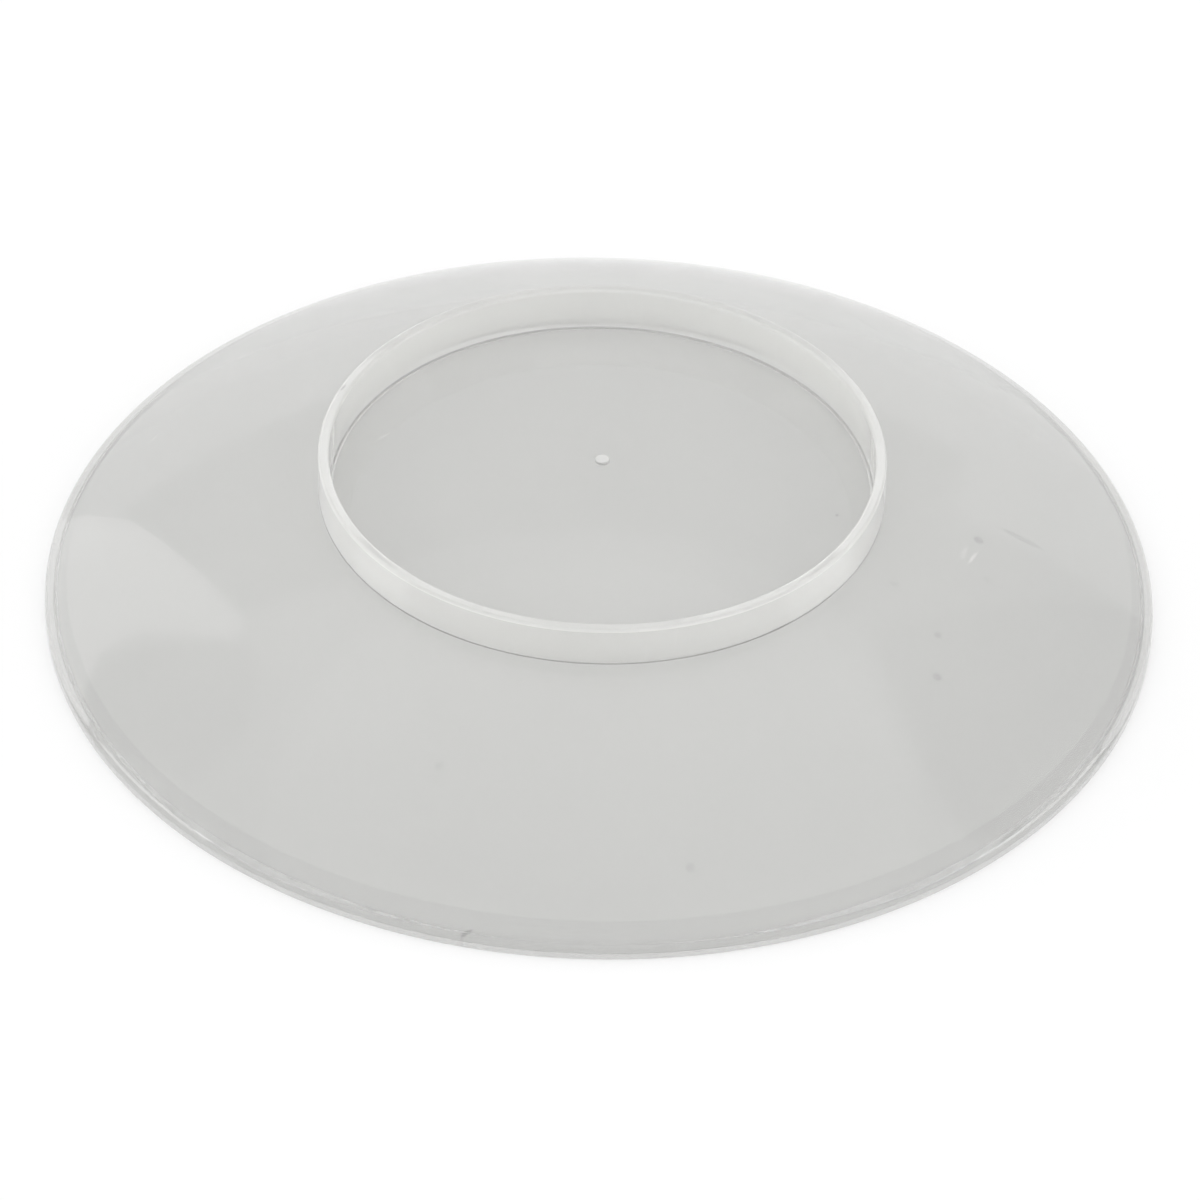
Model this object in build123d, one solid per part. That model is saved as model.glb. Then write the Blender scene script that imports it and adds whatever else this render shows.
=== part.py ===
"""Moulded plastic watch glass with a ring foot, lying rim down with its convex side up.

The dish is one moulding, so it is one solid. Its outside is turned about Z from a half section,
and its concave side is hollowed out by a ball. Sizes are in millimetres.
The origin is the centre of the rim's flat underside.
"""
from build123d import *
from math import sqrt
import os

# Rim
rim_diameter = 100.0
rim_land_width = 1.5  # flat underside of the rim
rim_lip_height = 0.6  # how far the rim stands below the concave side
rim_rounding = 1.0  # upper outer edge
edge_break = 0.15  # bevel of the rim's two lower edges

# Dish
dome_radius = 93.0  # sphere of the convex side, outside the foot
wall = 1.5
floor_wall = 0.8  # thinner wall inside the foot

# Ring foot
foot_diameter = 50.7
foot_wall = 1.0
foot_height = 3.85  # above the dome, at the outside of the foot
foot_bevel = 0.25  # both edges of the foot's top
foot_root = 0.4  # fillet where the outside of the foot meets the dome

# Gate mark left by the moulding, in the middle of the floor
gate_diameter = 1.3
gate_height = 0.3
gate_bevel = 0.1

WALL_SHARE = 0.45  # most of a wall that one of its two bevels may take

rim_radius = rim_diameter / 2
land_radius = rim_radius - rim_land_width
foot_radius = foot_diameter / 2
recess_radius = foot_radius - foot_wall
gate_radius = gate_diameter / 2
bowl_radius = dome_radius - wall
floor_radius = bowl_radius + floor_wall
sphere_centre = rim_lip_height - sqrt(bowl_radius**2 - land_radius**2)


def sphere_height(radius, offset):
    """Height of a sphere of the dish at an offset from the axis. All its spheres share one centre."""
    return sphere_centre + sqrt(radius**2 - offset**2)


def sphere_arc(radius, start, end):
    """Arc of one of the dish's spheres, drawn in the section between two offsets from the axis."""
    stops = (start, (start + end) / 2, end)
    return ThreePointArc(*((offset, sphere_height(radius, offset)) for offset in stops))


def corner(offset, height):
    """The section's corner that lies at a place."""
    return vertices().sort_by_distance((offset, height, 0))[0]


def half_section():
    """Half section of the outside, with offset from the axis along X and height along Y."""
    dome_edge = sphere_height(dome_radius, rim_radius)
    foot_base = sphere_height(dome_radius, foot_radius)
    foot_top = foot_base + foot_height
    recess_base = sphere_height(floor_radius, recess_radius)
    gate_base = sphere_height(floor_radius, gate_radius)
    gate_top = gate_base + gate_height

    with BuildSketch() as section:
        with BuildLine():
            Polyline((0, 0), (rim_radius, 0), (rim_radius, dome_edge))
            sphere_arc(dome_radius, rim_radius, foot_radius)
            Polyline((foot_radius, foot_base), (foot_radius, foot_top), (recess_radius, foot_top))
            Line((recess_radius, foot_top), (recess_radius, recess_base))
            sphere_arc(floor_radius, recess_radius, gate_radius)
            Polyline((gate_radius, gate_base), (gate_radius, gate_top), (0, gate_top))
            Line((0, gate_top), (0, 0))
        make_face()
        fillet([corner(rim_radius, dome_edge)], rim_rounding)
        fillet([corner(foot_radius, foot_base)], foot_root)
        chamfer([corner(rim_radius, 0)], edge_break)
        chamfer(
            [corner(foot_radius, foot_top), corner(recess_radius, foot_top)],
            min(foot_bevel, foot_wall * WALL_SHARE),
        )
        chamfer([corner(gate_radius, gate_top)], min(gate_bevel, gate_height * WALL_SHARE))
    return section.sketch


def bowl():
    """The space under the dish: a ball, cut off all round by the rim's inner wall.

    The ball's poles lie sideways, so that its grid of facets is even over the whole concave side.
    """
    ball = Pos(0, 0, sphere_centre) * Rot(0, 90, 0) * Sphere(bowl_radius)
    rim_bore = extrude(Circle(land_radius), bowl_radius)
    bevel = Pos(0, 0, edge_break / 2) * Cone(land_radius + edge_break, land_radius, edge_break)
    return (rim_bore & ball) + bevel


def watch_glass():
    """The whole moulding: the section stood upright and turned about Z, less the space under it."""
    outside = revolve(Plane.XZ * half_section(), Axis.Z, 360)
    return outside - bowl()


os.makedirs("parts", exist_ok=True)
dish = watch_glass()
dish.label = "watch_glass"
export_step(dish, "parts/watch_glass.step")
print(f"height {dish.bounding_box().size.Z:.2f} mm, volume {dish.volume / 1000:.2f} cm3")
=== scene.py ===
"""Looks of the moulded watch glass: milky polypropylene on a white table under soft studio light."""
import bpy
from math import asin, cos, pi, radians, sin, sqrt, tan
from mathutils import Matrix, Vector


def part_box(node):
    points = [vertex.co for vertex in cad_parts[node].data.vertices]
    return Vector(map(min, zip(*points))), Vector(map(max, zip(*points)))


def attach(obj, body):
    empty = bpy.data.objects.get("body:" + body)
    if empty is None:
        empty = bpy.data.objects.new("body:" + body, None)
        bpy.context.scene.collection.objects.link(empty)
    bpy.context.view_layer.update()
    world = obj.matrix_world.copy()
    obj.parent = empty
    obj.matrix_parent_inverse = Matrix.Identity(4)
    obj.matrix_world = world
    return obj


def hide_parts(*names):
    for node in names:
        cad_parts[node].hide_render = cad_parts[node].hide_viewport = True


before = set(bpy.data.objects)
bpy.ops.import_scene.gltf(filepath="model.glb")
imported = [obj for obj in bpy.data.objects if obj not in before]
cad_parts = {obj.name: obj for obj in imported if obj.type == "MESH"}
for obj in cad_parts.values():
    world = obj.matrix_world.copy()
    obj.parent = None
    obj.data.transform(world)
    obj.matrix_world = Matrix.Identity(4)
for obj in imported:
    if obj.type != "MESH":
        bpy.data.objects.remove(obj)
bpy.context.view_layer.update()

MM = 0.001
NODE = "watch_glass"
SLOT = "natural_polypropylene"

# The dish, with the sizes of the CAD model, in millimetres
LOW_CORNER, HIGH_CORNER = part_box(NODE)
RIM_RADIUS = (HIGH_CORNER.x - LOW_CORNER.x) / 2 / MM
TOP_HEIGHT = HIGH_CORNER.z / MM
RIM_LAND_WIDTH = 1.5
RIM_LIP_HEIGHT = 0.6
RIM_ROUNDING = 1.0
RIM_EDGE_ROUNDING = 0.15
LIP_ROOT = 0.3  # rounding where the concave side meets the rim's lip
DOME_RADIUS = 93.0
WALL = 1.5
FLOOR_WALL = 0.8
FOOT_RADIUS = 25.35
FOOT_WALL = 1.0
FOOT_ROUNDING = 0.3  # both edges of the foot's top
FOOT_ROOT = 0.15
FOOT_HAZE_AND_PAINTED_LIGHT_START = 0.255  # above the dome, where the foot's own haze begins, with its colour painted lighter as painted light
RECESS_ROOT = 0.15
GATE_RADIUS = 0.65
GATE_HEIGHT = 0.3
GATE_ROUNDING = 0.12
GATE_ROOT = 0.08

# The mesh of the dish: faces round it, the longest step along a sphere, and faces on a rounding
TURNS = 360
ARC_STEP = 1.6
ROUNDING_STEPS = 7

# The plastic: how clear each part of the dish is, its colour, and the sheen of its haze. SHEET and UNDER
# keep the plastic's own grey; the lighter FOOT, LIP and GATE are painted light, and the darker RIM is
# painted shade
# SHEET is the convex side and the floor, UNDER the concave side, and LIP the rounded top of the foot
SHEET, UNDER, RIM, FOOT, LIP, GATE = range(6)
CLARITY = {SHEET: 0.77, UNDER: 0.77, RIM: 0.77, FOOT: 0.7, LIP: 0.56, GATE: 0.5}
COLOUR_AND_PAINTED_LIGHT = {SHEET: 0.785, UNDER: 0.785, RIM: 0.73, FOOT: 1.0, LIP: 1.0, GATE: 0.85}
TINT = (1.0, 1.0, 0.983)
SHEEN = {SHEET: 0.0, UNDER: 0.0, RIM: 0.0, FOOT: 0.3, LIP: 0.0, GATE: 0.0}
ROUGHNESS = 0.04
IOR = 1.49

# What makes the plastic uneven, with painted shade that darkens it towards the rim. Sizes are in
# millimetres, and a change is a share of the colour
RIM_PAINTED_SHADE_CHANGE = -0.04  # reached at the second of the two offsets below
RIM_PAINTED_SHADE_OFFSETS = (26.0, 49.0)
CLOUD_SIZE, CLOUD_CHANGE = 18.0, 0.012
ROUGHNESS_CHANGE = 0.02  # the clouds' own, added to the roughness
WAVE_SIZE, WAVE_HEIGHT = 6.0, 0.0004
SKIN_SIZE, SKIN_HEIGHT = 0.5, 0.00004
NOISE_DETAIL = 1.0
SCRATCH_LENGTH, SCRATCH_WIDTH, SCRATCH_DEPTH = 9.0, 0.12, 0.0006
SCRATCH_TURNS = (25, -50)
SCRATCH_LEVELS = (0.74, 0.8)  # how high the noise has to be for a scratch to begin, and to be full
SCRATCH_CHANGE, SCRATCH_ROUGHNESS = 0.012, 0.12
SPECK_CELL, SPECK_SIZE, SPECK_CHANGE = 5.0, 0.09, -0.12
MARK_EDGE = (0.6, 1.2)  # where a mark begins to fade, and where it ends, in half sizes
TALL = 1000.0  # in metres, the height of the upright tube that a mark is cut by

# Marks on the convex side: x, y, length, width, turn in degrees, and how much lighter or darker
ROUND_SPOTS = [
    (33.8, -2.8, 1.0, 1.0, 0, -0.15),
    (29.9, -16.4, 0.8, 0.8, 0, -0.13),
    (29.8, -21.1, 1.0, 1.0, 0, -0.12),
    (26.1, -11.8, 0.9, 0.8, 0, -0.08),
    (34.5, -7.8, 0.9, 0.9, 0, -0.09),
    (8.4, -43.3, 1.0, 0.9, 0, -0.09),
    (-13.4, -34.6, 0.9, 0.9, 0, -0.08),
]
DUST = [
    (23.8, -1.9, 0.3, 0.3, 0, -0.2),
    (21.0, -3.8, 0.35, 0.3, 0, -0.25),
]
SHORT_SCRATCHES = [
    (37.9, -0.4, 4.4, 0.9, -12, -0.1),
    (33.2, -5.5, 2.1, 0.35, 66, 0.2),
    (32.4, -5.2, 2.2, 0.6, 75, 0.1),
    (-41.1, 15.2, 1.2, 0.3, 57, 0.2),
    (-19.8, 5.9, 1.2, 0.3, 36, 0.15),
]
LIP_NICKS = [(6.1, 24.5, 1.0, 0.3, -14, -0.3), (-23.5, 8.6, 1.1, 0.3, 62, -0.25)]
RIM_FLECKS = [(-10.6, -48.6, 1.1, 0.3, 12, -0.3)]

# The table: its paint, and how much of its white is shown as it is
TABLE_HALF = 6.0
TABLE_PAINT = 0.98
TABLE_GLOW = 0.6

# The camera, fitted to the photograph's ellipses
VIEW_ELEVATION = radians(38.54)
VIEW_DISTANCE = 0.7
VIEW_ROLL = radians(1.388)
SENSOR = 36.0
IMAGE_SIZE = 1200
FOCAL_PIXELS = 7741.0
CENTRE_PIXEL = (599.1, 595.5)  # where the middle of the rim's underside shows
CLIP_START = 0.01

# The studio: how bright each card is, where the plain white room is 1
CARD_DISTANCE = 4.0
CEILING = 1.15
SOFT_BOX = 1.5
SCREEN = 0.78
DARK_SCREEN = 0.6
SIDE_LIGHT = 4.0
BOUNCES = 12

# The cards' outlines as directions from the dish: azimuth from straight behind it, and elevation
BOX_SLANT = [(-32, 9), (-33.5, 17), (-36, 25), (-40, 34), (-44, 41.5)]
BOX_CORNERS = [(-47.5, 43), (-47.5, 30), (-50, 28), (-75, 30), (-75, 0), (-32, 0)]
WALL_TOP = [(23.3, 14.7), (12, 15.4), (0, 15.7), (-16, 15.2), (-32, 13.5)]
SCREEN_TOP = [(-34, 46.5), (-17, 49), (0, 50), (20, 50), (40, 50.5)]
SCREEN_CORNERS = [(40, 17), (29.2, 27)]
LEFT_SCREEN = [(-47.5, 44.5), (-53, 48.5), (-59, 50), (-66, 50), (-72, 46.5), (-60, 30), (-50, 28)]
RIGHT_SCREEN_TOP = [(40, 50.5), (52, 53), (64, 54), (72, 53), (79, 50)]
RIGHT_SCREEN_CORNERS = [(75, 30), (50, 10), (40, 17)]
SIDE_AZIMUTHS = (70, 87.5, 105)
SIDE_TOP = 20
CEILING_EDGE = 55.0
CEILING_CORNERS = 24


class Section:
    """The dish's half section: a line of places, each with its offset, height, heading and part."""

    def __init__(self):
        self.places = []
        self.part = UNDER

    def add(self, offset, height, heading):
        self.places.append((offset, height, heading, self.part))

    def sphere(self, radius, start, end):
        """A stretch along one of the dish's spheres, between two offsets from the axis."""
        steps = max(2, round(abs(end - start) / ARC_STEP))
        outwards = end > start
        for k in range(steps + 1):
            offset = start + (end - start) * k / steps
            slope = slope_out(radius, offset)
            self.add(offset, sphere_height(radius, offset), slope if outwards else slope + pi)

    def rounding(self, corner, heading_in, heading_out, radius):
        """The arc that rounds a corner, from its first heading to its second."""
        turn = (heading_out - heading_in + pi) % (2 * pi) - pi
        reach = radius * tan(abs(turn) / 2)
        side = 1 if turn > 0 else -1
        start = (corner[0] - reach * cos(heading_in), corner[1] - reach * sin(heading_in))
        centre = (start[0] - side * radius * sin(heading_in), start[1] + side * radius * cos(heading_in))
        for k in range(ROUNDING_STEPS + 1):
            heading = heading_in + turn * k / ROUNDING_STEPS
            offset = centre[0] + side * radius * sin(heading)
            height = centre[1] - side * radius * cos(heading)
            self.add(offset, height, heading)


LAND_RADIUS = RIM_RADIUS - RIM_LAND_WIDTH
RECESS_RADIUS = FOOT_RADIUS - FOOT_WALL
BOWL_RADIUS = DOME_RADIUS - WALL
FLOOR_RADIUS = BOWL_RADIUS + FLOOR_WALL
SPHERE_CENTRE = RIM_LIP_HEIGHT - sqrt(BOWL_RADIUS**2 - LAND_RADIUS**2)
OUT, UP, IN, DOWN = 0.0, pi / 2, pi, -pi / 2


def sphere_height(radius, offset):
    """Height of a sphere of the dish at an offset from the axis. All its spheres share one centre."""
    return SPHERE_CENTRE + sqrt(radius**2 - offset**2)


def slope_out(radius, offset):
    """Heading outwards along a sphere at an offset from the axis."""
    return -asin(offset / radius)


def dish_section():
    """The half section, from the middle of the concave side round the rim to the gate mark."""
    section = Section()
    section.sphere(BOWL_RADIUS, 0, LAND_RADIUS - 2 * LIP_ROOT)
    section.part = RIM
    section.rounding((LAND_RADIUS, RIM_LIP_HEIGHT), slope_out(BOWL_RADIUS, LAND_RADIUS), DOWN, LIP_ROOT)
    section.rounding((LAND_RADIUS, 0), DOWN, OUT, RIM_EDGE_ROUNDING)
    section.rounding((RIM_RADIUS, 0), OUT, UP, RIM_EDGE_ROUNDING)
    dome_edge = (RIM_RADIUS, sphere_height(DOME_RADIUS, RIM_RADIUS))
    section.rounding(dome_edge, UP, slope_out(DOME_RADIUS, RIM_RADIUS) + pi, RIM_ROUNDING)
    section.part = SHEET
    section.sphere(DOME_RADIUS, RIM_RADIUS - 2 * RIM_ROUNDING, FOOT_RADIUS + 2 * FOOT_ROOT)
    foot_base = (FOOT_RADIUS, sphere_height(DOME_RADIUS, FOOT_RADIUS))
    section.rounding(foot_base, slope_out(DOME_RADIUS, FOOT_RADIUS) + pi, UP, FOOT_ROOT)
    section.part = FOOT
    section.add(FOOT_RADIUS, foot_base[1] + FOOT_HAZE_AND_PAINTED_LIGHT_START, UP)
    section.part = LIP
    section.rounding((FOOT_RADIUS, TOP_HEIGHT), UP, IN, FOOT_ROUNDING)
    section.rounding((RECESS_RADIUS, TOP_HEIGHT), IN, DOWN, FOOT_ROUNDING)
    section.part = FOOT
    recess_base = (RECESS_RADIUS, sphere_height(FLOOR_RADIUS, RECESS_RADIUS))
    section.rounding(recess_base, DOWN, slope_out(FLOOR_RADIUS, RECESS_RADIUS) + pi, RECESS_ROOT)
    section.part = SHEET
    section.sphere(FLOOR_RADIUS, RECESS_RADIUS - 2 * RECESS_ROOT, GATE_RADIUS + 2 * GATE_ROOT)
    gate_base = (GATE_RADIUS, sphere_height(FLOOR_RADIUS, GATE_RADIUS))
    gate_top = gate_base[1] + GATE_HEIGHT
    section.part = GATE
    section.rounding(gate_base, slope_out(FLOOR_RADIUS, GATE_RADIUS) + pi, UP, GATE_ROOT)
    section.rounding((GATE_RADIUS, gate_top), UP, IN, GATE_ROUNDING)
    section.add(0, gate_top, IN)
    return section.places


def turned_mesh(name, places):
    """A mesh turned about Z from a section that starts and ends on the axis.

    It has the section's own normals, and each face takes the material of its part.
    """
    points = [(0, 0, places[0][1] * MM)]
    normals = [(0, 0, -1)]
    for offset, height, heading, _ in places[1:-1]:
        for turn in range(TURNS):
            around = 2 * pi * turn / TURNS
            points.append((offset * MM * cos(around), offset * MM * sin(around), height * MM))
            normals.append((sin(heading) * cos(around), sin(heading) * sin(around), -cos(heading)))
    points.append((0, 0, places[-1][1] * MM))
    normals.append((0, 0, 1))

    last = len(points) - 1
    rings = len(places) - 2
    faces = []
    parts = []
    for turn in range(TURNS):
        beside = (turn + 1) % TURNS
        faces.append((0, 1 + beside, 1 + turn))
        top = 1 + (rings - 1) * TURNS
        faces.append((last, top + turn, top + beside))
        parts += [places[0][-1], places[-1][-1]]
        for ring in range(rings - 1):
            low = 1 + ring * TURNS
            high = low + TURNS
            faces.append((low + turn, low + beside, high + beside, high + turn))
            parts.append(places[ring + 1][-1])
    mesh = bpy.data.meshes.new(name)
    mesh.from_pydata(points, [], faces)
    mesh.polygons.foreach_set("material_index", parts)
    mesh.shade_smooth()
    mesh.normals_split_custom_set_from_vertices(normals)
    return mesh


class Nodes:
    """Short ways to add and join shader nodes."""

    def __init__(self, tree):
        self.tree = tree
        tree.nodes.clear()

    def add(self, kind, **settings):
        node = self.tree.nodes.new(kind)
        for name, value in settings.items():
            setattr(node, name, value)
        return node

    def join(self, value, socket):
        """Puts a value, or the output of another node, into a socket."""
        if isinstance(value, bpy.types.NodeSocket):
            self.tree.links.new(value, socket)
        else:
            socket.default_value = value

    def math(self, operation, first, second=0.0):
        node = self.add("ShaderNodeMath", operation=operation)
        self.join(first, node.inputs[0])
        self.join(second, node.inputs[1])
        return node.outputs[0]

    def total(self, *values):
        result = values[0]
        for value in values[1:]:
            result = self.math("ADD", result, value)
        return result

    def vector(self, operation, first, second=(0, 0, 0), output="Vector"):
        node = self.add("ShaderNodeVectorMath", operation=operation)
        self.join(first, node.inputs[0])
        self.join(second, node.inputs[1])
        return node.outputs[output]

    def smooth(self, value, low, high, at_low=0.0, at_high=1.0):
        """A smooth step of a value between two limits."""
        node = self.add("ShaderNodeMapRange", interpolation_type="SMOOTHSTEP")
        for socket, given in zip(node.inputs, (value, low, high, at_low, at_high)):
            self.join(given, socket)
        return node.outputs[0]

    def noise(self, place, size, change):
        """Soft noise with features of a size in millimetres, between about minus and plus a change."""
        node = self.add("ShaderNodeTexNoise")
        self.join(place, node.inputs["Vector"])
        node.inputs["Scale"].default_value = 1 / (size * MM)
        node.inputs["Detail"].default_value = NOISE_DETAIL
        return self.math("MULTIPLY", self.math("SUBTRACT", node.outputs[0], 0.5), 2 * change)

    def oval(self, place, x, y, length, width, turn):
        """How far out a place lies in an upright oval tube, where its wall is at 1."""
        node = self.add("ShaderNodeMapping", vector_type="TEXTURE")
        self.join(place, node.inputs["Vector"])
        node.inputs["Location"].default_value = (x * MM, y * MM, 0)
        node.inputs["Rotation"].default_value = (0, 0, radians(turn))
        node.inputs["Scale"].default_value = (length / 2 * MM, width / 2 * MM, TALL)
        return self.vector("LENGTH", node.outputs[0], output="Value")


def scratches(nodes, place):
    """Hairlines in two directions: 1 on a scratch, 0 beside it."""
    lines = []
    for turn in SCRATCH_TURNS:
        turned = nodes.add("ShaderNodeMapping", vector_type="TEXTURE")
        nodes.join(place, turned.inputs["Vector"])
        turned.inputs["Rotation"].default_value = (0, 0, radians(turn))
        turned.inputs["Scale"].default_value = (SCRATCH_LENGTH * MM, SCRATCH_WIDTH * MM, SCRATCH_LENGTH * MM)
        noise = nodes.add("ShaderNodeTexNoise")
        nodes.join(turned.outputs[0], noise.inputs["Vector"])
        noise.inputs["Scale"].default_value = 1.0
        noise.inputs["Detail"].default_value = 0.0
        lines.append(nodes.smooth(noise.outputs[0], *SCRATCH_LEVELS))
    return nodes.math("MAXIMUM", *lines)


def specks(nodes, place):
    """Tiny specks of dust in the plastic, at the middles of a net of uneven cells."""
    cells = nodes.add("ShaderNodeTexVoronoi")
    nodes.join(place, cells.inputs["Vector"])
    cells.inputs["Scale"].default_value = 1 / (SPECK_CELL * MM)
    size = SPECK_SIZE / SPECK_CELL
    return nodes.smooth(cells.outputs["Distance"], size / 2, size, SPECK_CHANGE, 0.0)


def unevenness_and_painted_shade(nodes, place, marks, lines):
    """How much lighter or darker than its own colour the plastic is from place to place, with painted shade
    that darkens it towards the rim.
    """
    across = nodes.vector("MULTIPLY", place, (1, 1, 0))
    offset = nodes.vector("LENGTH", across, output="Value")
    inner, outer = RIM_PAINTED_SHADE_OFFSETS
    # Painted shade: the colour darkens towards the rim, between the two offsets
    rim_painted_shade = nodes.smooth(offset, inner * MM, outer * MM, 0.0, RIM_PAINTED_SHADE_CHANGE)
    clouds = nodes.noise(place, CLOUD_SIZE, CLOUD_CHANGE)
    hairlines = nodes.math("MULTIPLY", lines, SCRATCH_CHANGE)
    changes = [1.0, rim_painted_shade, clouds, hairlines, specks(nodes, place)]
    for x, y, length, width, turn, change in marks:
        out = nodes.oval(place, x, y, length, width, turn)
        changes.append(nodes.smooth(out, *MARK_EDGE, change, 0.0))
    return nodes.total(*changes)


def skin(nodes, place, lines):
    """The bumps of the moulded skin: slow waves, a fine grain and the scratches' grooves."""
    waves = nodes.noise(place, WAVE_SIZE, WAVE_HEIGHT)
    grain = nodes.noise(place, SKIN_SIZE, SKIN_HEIGHT)
    grooves = nodes.math("MULTIPLY", lines, -SCRATCH_DEPTH)
    bump = nodes.add("ShaderNodeBump")
    bump.inputs["Distance"].default_value = MM
    nodes.join(nodes.total(waves, grain, grooves), bump.inputs["Height"])
    return bump.outputs[0]


def polypropylene(name, part, marks=()):
    """Natural polypropylene: clear enough to see through, with a milky haze and a glossy skin.

    How clear it is and its sheen stay constant on the shader's own sockets. Its colour level is painted
    lighter on the foot, lip and gate and darker on the rim, as painted light and shade.
    """
    material = bpy.data.materials.new(name)
    material.use_nodes = True
    nodes = Nodes(material.node_tree)
    output = nodes.add("ShaderNodeOutputMaterial")
    plastic = nodes.add("ShaderNodeBsdfPrincipled")
    place = nodes.add("ShaderNodeTexCoord").outputs["Object"]
    lines = scratches(nodes, place)
    # The part's colour level: painted light on the foot, lip and gate, painted shade on the rim, and painted
    # shade towards the rim
    level = nodes.math("MULTIPLY", unevenness_and_painted_shade(nodes, place, marks, lines), COLOUR_AND_PAINTED_LIGHT[part])
    colour = nodes.add("ShaderNodeVectorMath", operation="SCALE")
    colour.inputs[0].default_value = TINT
    nodes.join(level, colour.inputs["Scale"])
    nodes.join(colour.outputs[0], plastic.inputs["Base Color"])
    wear = nodes.math("MULTIPLY", lines, SCRATCH_ROUGHNESS)
    dulling = nodes.noise(place, CLOUD_SIZE, ROUGHNESS_CHANGE)
    nodes.join(nodes.total(ROUGHNESS, dulling, wear), plastic.inputs["Roughness"])
    nodes.join(skin(nodes, place, lines), plastic.inputs["Normal"])
    plastic.inputs["IOR"].default_value = IOR
    plastic.inputs["Transmission Weight"].default_value = CLARITY[part]
    plastic.inputs["Sheen Weight"].default_value = SHEEN[part]
    nodes.join(plastic.outputs[0], output.inputs["Surface"])
    return material


def watch_glass():
    """The whole moulding, which stands for the CAD node. Its materials are in the order of the parts."""
    mesh = turned_mesh("moulded_dish", dish_section())
    dish = bpy.data.objects.new("moulded_dish", mesh)
    bpy.context.scene.collection.objects.link(dish)
    # The part copies of the plastic are painted light on the foot, lip and gate and painted shade on the rim
    mesh.materials.append(polypropylene(SLOT, SHEET, ROUND_SPOTS + DUST + SHORT_SCRATCHES))
    mesh.materials.append(polypropylene(SLOT + "_under", UNDER))
    mesh.materials.append(polypropylene(SLOT + "_rim", RIM, RIM_FLECKS))
    mesh.materials.append(polypropylene(SLOT + "_foot", FOOT))
    mesh.materials.append(polypropylene(SLOT + "_lip", LIP, LIP_NICKS))
    mesh.materials.append(polypropylene(SLOT + "_gate", GATE))
    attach(dish, "root")
    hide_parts(NODE)


def table():
    """The white table. What is seen of it, straight or in the plastic, is part plain white."""
    mesh = bpy.data.meshes.new("table")
    low, high = -TABLE_HALF, TABLE_HALF
    mesh.from_pydata([(low, low, 0), (high, low, 0), (high, high, 0), (low, high, 0)], [], [(0, 1, 2, 3)])
    top = bpy.data.objects.new("table", mesh)
    bpy.context.scene.collection.objects.link(top)
    material = bpy.data.materials.new("white_table")
    material.use_nodes = True
    nodes = Nodes(material.node_tree)
    output = nodes.add("ShaderNodeOutputMaterial")
    paint = nodes.add("ShaderNodeBsdfDiffuse")
    paint.inputs["Color"].default_value = (TABLE_PAINT, TABLE_PAINT, TABLE_PAINT, 1)
    white = nodes.add("ShaderNodeEmission")
    path = nodes.add("ShaderNodeLightPath")
    seen = path.outputs["Is Camera Ray"]
    for ray in ("Is Glossy Ray", "Is Transmission Ray"):
        seen = nodes.math("MAXIMUM", seen, path.outputs[ray])
    share = nodes.math("MULTIPLY", seen, TABLE_GLOW)
    mix = nodes.add("ShaderNodeMixShader")
    nodes.join(share, mix.inputs[0])
    nodes.join(paint.outputs[0], mix.inputs[1])
    nodes.join(white.outputs[0], mix.inputs[2])
    nodes.join(mix.outputs[0], output.inputs["Surface"])
    material.cycles.emission_sampling = "NONE"
    mesh.materials.append(material)


def direction(azimuth, elevation):
    """Unit vector, with azimuth in degrees from straight behind the dish towards its right."""
    azimuth, elevation = radians(azimuth), radians(elevation)
    return Vector((cos(elevation) * sin(azimuth), cos(elevation) * cos(azimuth), sin(elevation)))


def card(name, outline, level):
    """A flat-lit card far round the table: a soft box, or a grey screen that the glossy plastic mirrors.

    Its outline is a list of directions, each an azimuth and an elevation in degrees.
    """
    mesh = bpy.data.meshes.new(name)
    corners = [direction(*place) * CARD_DISTANCE for place in outline]
    mesh.from_pydata(corners, [], [tuple(range(len(corners)))])
    board = bpy.data.objects.new(name, mesh)
    bpy.context.scene.collection.objects.link(board)
    board.visible_camera = False
    material = bpy.data.materials.new(name)
    material.use_nodes = True
    nodes = Nodes(material.node_tree)
    light = nodes.add("ShaderNodeEmission")
    light.inputs["Strength"].default_value = level
    material.cycles.emission_sampling = "NONE"
    output = nodes.add("ShaderNodeOutputMaterial")
    nodes.join(light.outputs[0], output.inputs["Surface"])
    mesh.materials.append(material)


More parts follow.
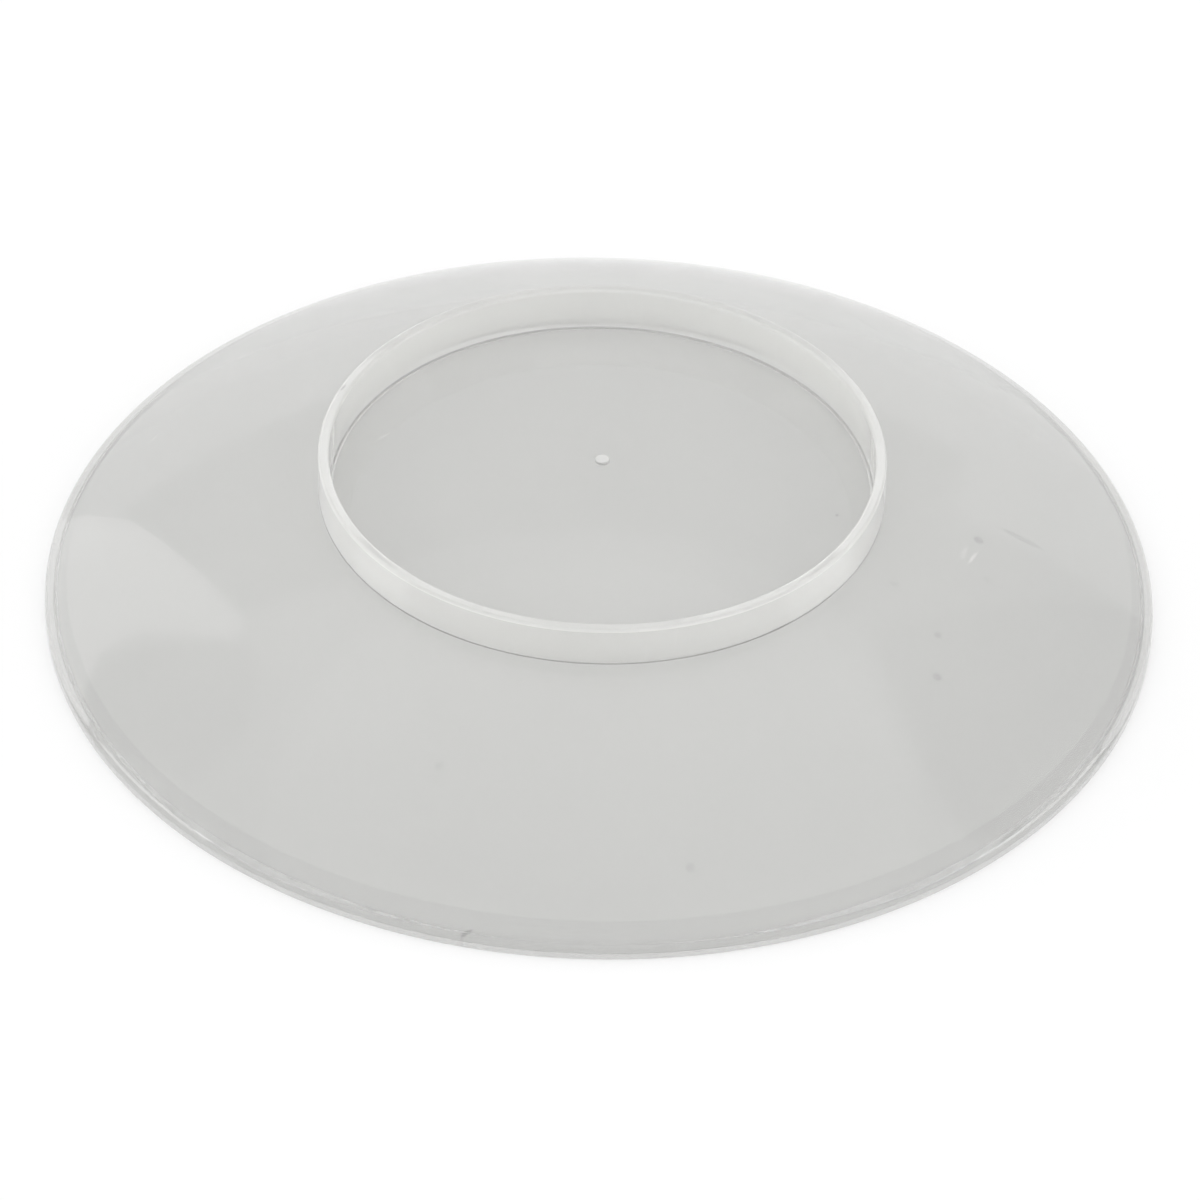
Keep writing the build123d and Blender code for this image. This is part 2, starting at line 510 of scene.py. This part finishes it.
def studio():
    """A plain white room, with a brighter ceiling, one soft box, grey screens and a light at each side."""
    world = bpy.data.worlds.new("white_room")
    bpy.context.scene.world = world
    world.use_nodes = True
    world.cycles.sampling_method = "NONE"
    nodes = Nodes(world.node_tree)
    room = nodes.add("ShaderNodeBackground")
    room.inputs["Color"].default_value = (1, 1, 1, 1)
    output = nodes.add("ShaderNodeOutputWorld")
    nodes.join(room.outputs[0], output.inputs["Surface"])

    card("soft_box", BOX_SLANT + BOX_CORNERS, SOFT_BOX)
    card("back_screen", WALL_TOP + BOX_SLANT[1:] + SCREEN_TOP + SCREEN_CORNERS, SCREEN)
    card("left_screen", LEFT_SCREEN, SCREEN)
    card("right_screen", RIGHT_SCREEN_TOP + RIGHT_SCREEN_CORNERS, DARK_SCREEN)
    for side, name in ((-1, "left_light"), (1, "right_light")):
        low = [(side * azimuth, 0) for azimuth in SIDE_AZIMUTHS]
        high = [(side * azimuth, SIDE_TOP) for azimuth in reversed(SIDE_AZIMUTHS)]
        card(name, low + high, SIDE_LIGHT)
    turns = (360 * corner / CEILING_CORNERS for corner in range(CEILING_CORNERS))
    card("ceiling", [(turn, CEILING_EDGE) for turn in turns], CEILING)


def light_paths():
    """How often light may bounce, so that it gets through all the walls of the dish."""
    for kind in ("max", "transmission", "glossy", "diffuse"):
        setattr(bpy.context.scene.cycles, kind + "_bounces", BOUNCES)


def camera():
    """The photograph's view. It is shifted sideways and upwards a little, to frame the dish the same."""
    lens = bpy.data.cameras.new("camera")
    lens.sensor_width = SENSOR
    lens.lens = FOCAL_PIXELS / IMAGE_SIZE * SENSOR
    lens.clip_start = CLIP_START
    eye = bpy.data.objects.new("camera", lens)
    bpy.context.scene.collection.objects.link(eye)
    back = Vector((0, -cos(VIEW_ELEVATION), sin(VIEW_ELEVATION)))
    right = Vector((1, 0, 0))
    up = back.cross(right)
    aim_right = (IMAGE_SIZE / 2 - CENTRE_PIXEL[0]) * VIEW_DISTANCE / FOCAL_PIXELS
    aim_up = (CENTRE_PIXEL[1] - IMAGE_SIZE / 2) * VIEW_DISTANCE / FOCAL_PIXELS
    turn = Matrix.Rotation(VIEW_ROLL, 3, back)
    right, up = turn @ right, turn @ up
    place = back * VIEW_DISTANCE + right * aim_right + up * aim_up
    eye.matrix_world = Matrix.Translation(place) @ Matrix((right, up, back)).transposed().to_4x4()
    bpy.context.scene.camera = eye


watch_glass()
table()
studio()
light_paths()
camera()

bpy.context.scene.view_settings.view_transform = "Standard"
